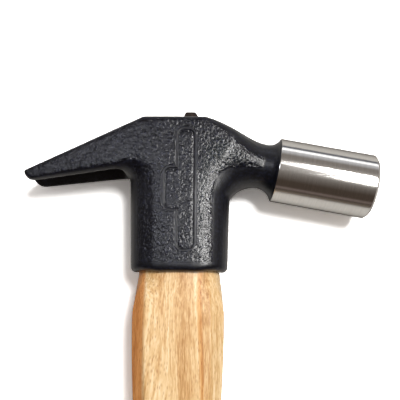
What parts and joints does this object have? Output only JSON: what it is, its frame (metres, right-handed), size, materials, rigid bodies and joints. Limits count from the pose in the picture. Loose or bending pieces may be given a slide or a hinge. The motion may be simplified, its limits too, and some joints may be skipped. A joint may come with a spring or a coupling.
{
  "type": "farrier hammer",
  "caption": "Driving hammer for horseshoe nails: a black lacquered forged head with a bright round poll and a split claw, on a wedged wooden handle.",
  "frame": {"origin": "centre of the handle's butt face", "axes": "+Y up the handle's axis towards the head, +X from the handle's axis towards the poll, +Z through the thickness of the head, as the hammer lies on its cheek"},
  "size_m": [0.1285, 0.3406, 0.027],
  "materials": {
    "black_lacquer": "black lacquer over a finely wrinkled forged skin; the poll of the same forging is ground bright",
    "ground_steel": "cylindrically ground steel with fine rings round the poll",
    "pale_wood": "pale honey wood, sanded and oiled, with the grain along the handle",
    "wedge_wood": "sawn end of a timber wedge",
    "wedge_steel": "dark steel with a film of brown rust"
  },
  "bodies": {
    "root": {"head": "black_lacquer", "handle": "pale_wood", "timber_wedge": "wedge_wood", "steel_wedge_poll_side": "wedge_steel", "steel_wedge_claw_side": "wedge_steel"}
  },
  "joints": []
}
